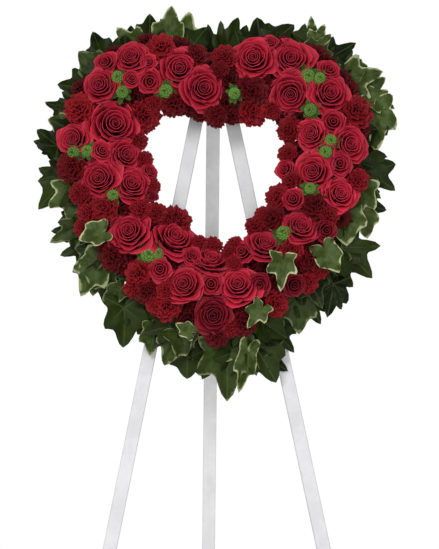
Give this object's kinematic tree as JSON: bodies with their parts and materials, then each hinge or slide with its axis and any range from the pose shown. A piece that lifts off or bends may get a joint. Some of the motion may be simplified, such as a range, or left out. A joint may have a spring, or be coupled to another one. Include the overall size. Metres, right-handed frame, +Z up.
{
  "type": "standing funeral wreath",
  "caption": "Open heart wreath of red roses, carnations and ivy on a white wooden tripod easel whose rear leg folds.",
  "frame": {"origin": "on the floor, under the middle of the whole object's box", "axes": "+Z up, -Y towards the viewer of the flowers, +X to the viewer's right"},
  "size_m": [0.6198, 0.594, 1.2582],
  "materials": {
    "white_wood": "white painted softwood, satin",
    "plated_steel": "zinc plated",
    "form_plastic": "dark green moulded tray",
    "wet_foam": "dark green wet floral foam",
    "red_petal": "deep red petals, velvety",
    "ivy_leaf": "waxy dark green leaves with cream edges"
  },
  "bodies": {
    "front_frame": {"bunch_01": "red_petal", "bunch_02": "red_petal", "bunch_03": "red_petal", "bunch_04": "red_petal", "bunch_05": "red_petal", "bunch_06": "red_petal", "bunch_07": "red_petal", "bunch_09": "red_petal", "bunch_10": "red_petal", "bunch_11": "red_petal", "bunch_12": "red_petal", "bunch_13": "red_petal", "bunch_14": "red_petal", "bunch_15": "red_petal", "bunch_16": "red_petal", "bunch_17": "red_petal", "bunch_18": "red_petal", "bunch_19": "red_petal", "bunch_21": "red_petal", "bunch_22": "red_petal", "bunch_23": "red_petal", "bunch_24": "red_petal", "bunch_25": "red_petal", "bunch_26": "red_petal", "bunch_28": "red_petal", "bunch_29": "red_petal", "bunch_30": "red_petal", "bunch_32": "red_petal", "bunch_33": "red_petal", "bunch_39": "red_petal", "carnation_36": "red_petal", "form_foam": "wet_foam", "form_hanger": "plated_steel", "form_tray": "form_plastic", "head_block": "white_wood", "hinge_leaf_fixed": "plated_steel", "hinge_pin": "plated_steel", "ivy_spray_01": "ivy_leaf", "ivy_spray_02": "ivy_leaf", "ivy_spray_03": "ivy_leaf", "ivy_spray_04": "ivy_leaf", "ivy_spray_05": "ivy_leaf", "ivy_spray_06": "ivy_leaf", "ivy_spray_07": "ivy_leaf", "ivy_spray_08": "ivy_leaf", "ivy_spray_09": "ivy_leaf", "ivy_spray_10": "ivy_leaf", "leg_left": "white_wood", "leg_right": "white_wood", "rose_08": "red_petal", "rose_20": "red_petal", "rose_27": "red_petal", "rose_31": "red_petal", "spray_rose_34": "red_petal", "spray_rose_35": "red_petal", "spray_rose_37": "red_petal", "spray_rose_38": "red_petal"},
    "rear_leg": {"leg_rear": "white_wood", "hinge_leaf_moving": "plated_steel"}
  },
  "joints": [
    {"name": "rear_leg_fold", "type": "hinge", "parent": "front_frame", "child": "rear_leg", "pos_m": [-0.00277, -0.07587, 1.10296], "axis": [-1, 0, 0], "range_deg": [0, 28]}
  ]
}
